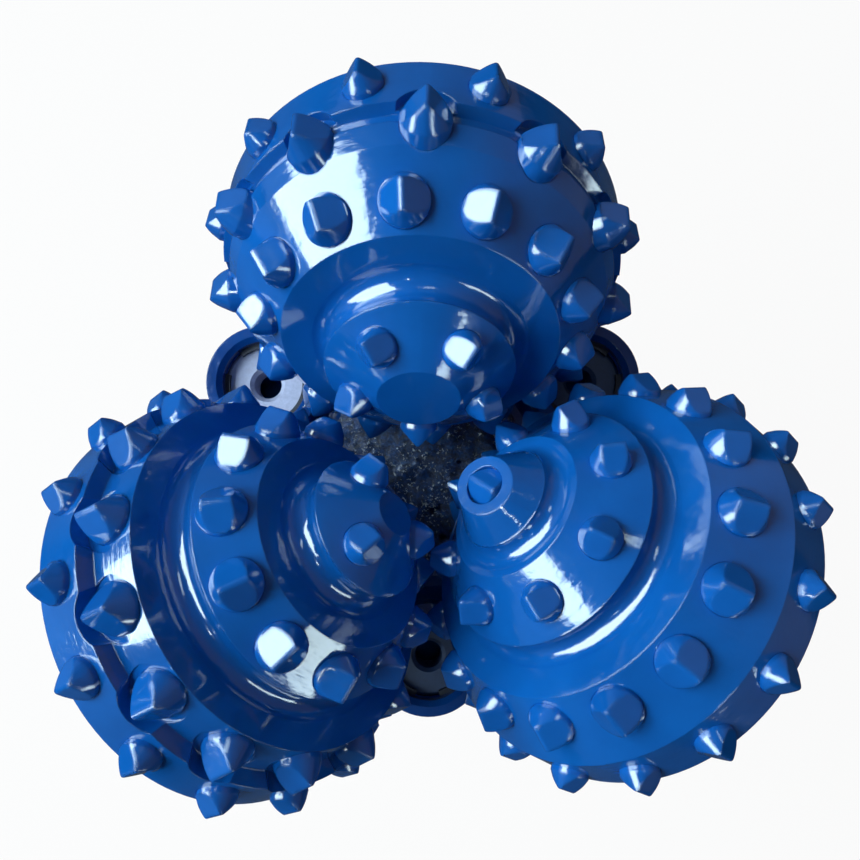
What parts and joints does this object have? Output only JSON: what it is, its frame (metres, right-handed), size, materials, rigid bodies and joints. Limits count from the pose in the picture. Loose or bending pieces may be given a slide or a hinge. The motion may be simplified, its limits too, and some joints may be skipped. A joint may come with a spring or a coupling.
{
  "type": "tricone rock bit",
  "caption": "Rolling cutter bit for well drilling: three intermeshing insert-studded cones on welded legs, jet nozzles, tapered threaded pin.",
  "frame": {"origin": "centre of the pin's end face, on the bit axis", "axes": "+Z along the bit axis from the pin towards the cones; +Y towards the third cone"},
  "size_m": [0.2118, 0.2056, 0.3232],
  "materials": {
    "blue_lacquer": "gloss",
    "bearing_steel": "polished",
    "spring_steel": "satin",
    "bearing_bronze": "satin",
    "bare_carbide": "satin",
    "nozzle_carbide": "satin",
    "black_rubber": "matt"
  },
  "bodies": {
    "body": {"leg_1": "blue_lacquer", "leg_2": "blue_lacquer", "leg_3": "blue_lacquer", "seam_welds": "blue_lacquer", "ball_plugs": "bearing_steel", "thrust_washers": "bearing_bronze", "balls_1": "bearing_steel", "balls_2": "bearing_steel", "balls_3": "bearing_steel", "leg_buttons": "bare_carbide", "nozzle_1": "nozzle_carbide", "nozzle_2": "nozzle_carbide", "nozzle_3": "nozzle_carbide", "nozzle_seals": "black_rubber", "nozzle_snap_rings": "spring_steel", "reservoir_cups": "spring_steel", "reservoir_diaphragms": "black_rubber", "reservoir_covers": "blue_lacquer", "reservoir_snap_rings": "spring_steel"},
    "cone_1": {"cone_1_shell": "blue_lacquer", "cone_1_bushing": "bearing_bronze", "cone_1_pilot_bushing": "bearing_bronze", "cone_1_seal": "black_rubber", "cone_1_snout_insert": "blue_lacquer", "cone_1_inner_inserts": "blue_lacquer", "cone_1_middle_inserts": "blue_lacquer", "cone_1_gauge_inserts": "blue_lacquer", "cone_1_heel_compacts": "bare_carbide"},
    "cone_2": {"cone_2_shell": "blue_lacquer", "cone_2_bushing": "bearing_bronze", "cone_2_pilot_bushing": "bearing_bronze", "cone_2_seal": "black_rubber", "cone_2_nose_inserts": "blue_lacquer", "cone_2_inner_inserts": "blue_lacquer", "cone_2_heel_inserts": "blue_lacquer", "cone_2_gauge_inserts": "blue_lacquer", "cone_2_heel_compacts": "bare_carbide"},
    "cone_3": {"cone_3_shell": "blue_lacquer", "cone_3_bushing": "bearing_bronze", "cone_3_pilot_bushing": "bearing_bronze", "cone_3_seal": "black_rubber", "cone_3_nose_inserts": "blue_lacquer", "cone_3_middle_inserts": "blue_lacquer", "cone_3_heel_inserts": "blue_lacquer", "cone_3_gauge_inserts": "blue_lacquer", "cone_3_heel_compacts": "bare_carbide"}
  },
  "joints": [
    {"name": "cone_1_spin", "type": "hinge", "parent": "body", "child": "cone_1", "pos_m": [0.0024, 0.00416, 0.3], "axis": [-0.7344, 0.424, 0.5299], "continuous": true},
    {"name": "cone_2_spin", "type": "hinge", "parent": "body", "child": "cone_2", "pos_m": [0.0024, -0.00416, 0.3], "axis": [0.7344, 0.424, 0.5299], "continuous": true},
    {"name": "cone_3_spin", "type": "hinge", "parent": "body", "child": "cone_3", "pos_m": [-0.0048, 0, 0.3], "axis": [0, -0.848, 0.5299], "continuous": true}
  ]
}
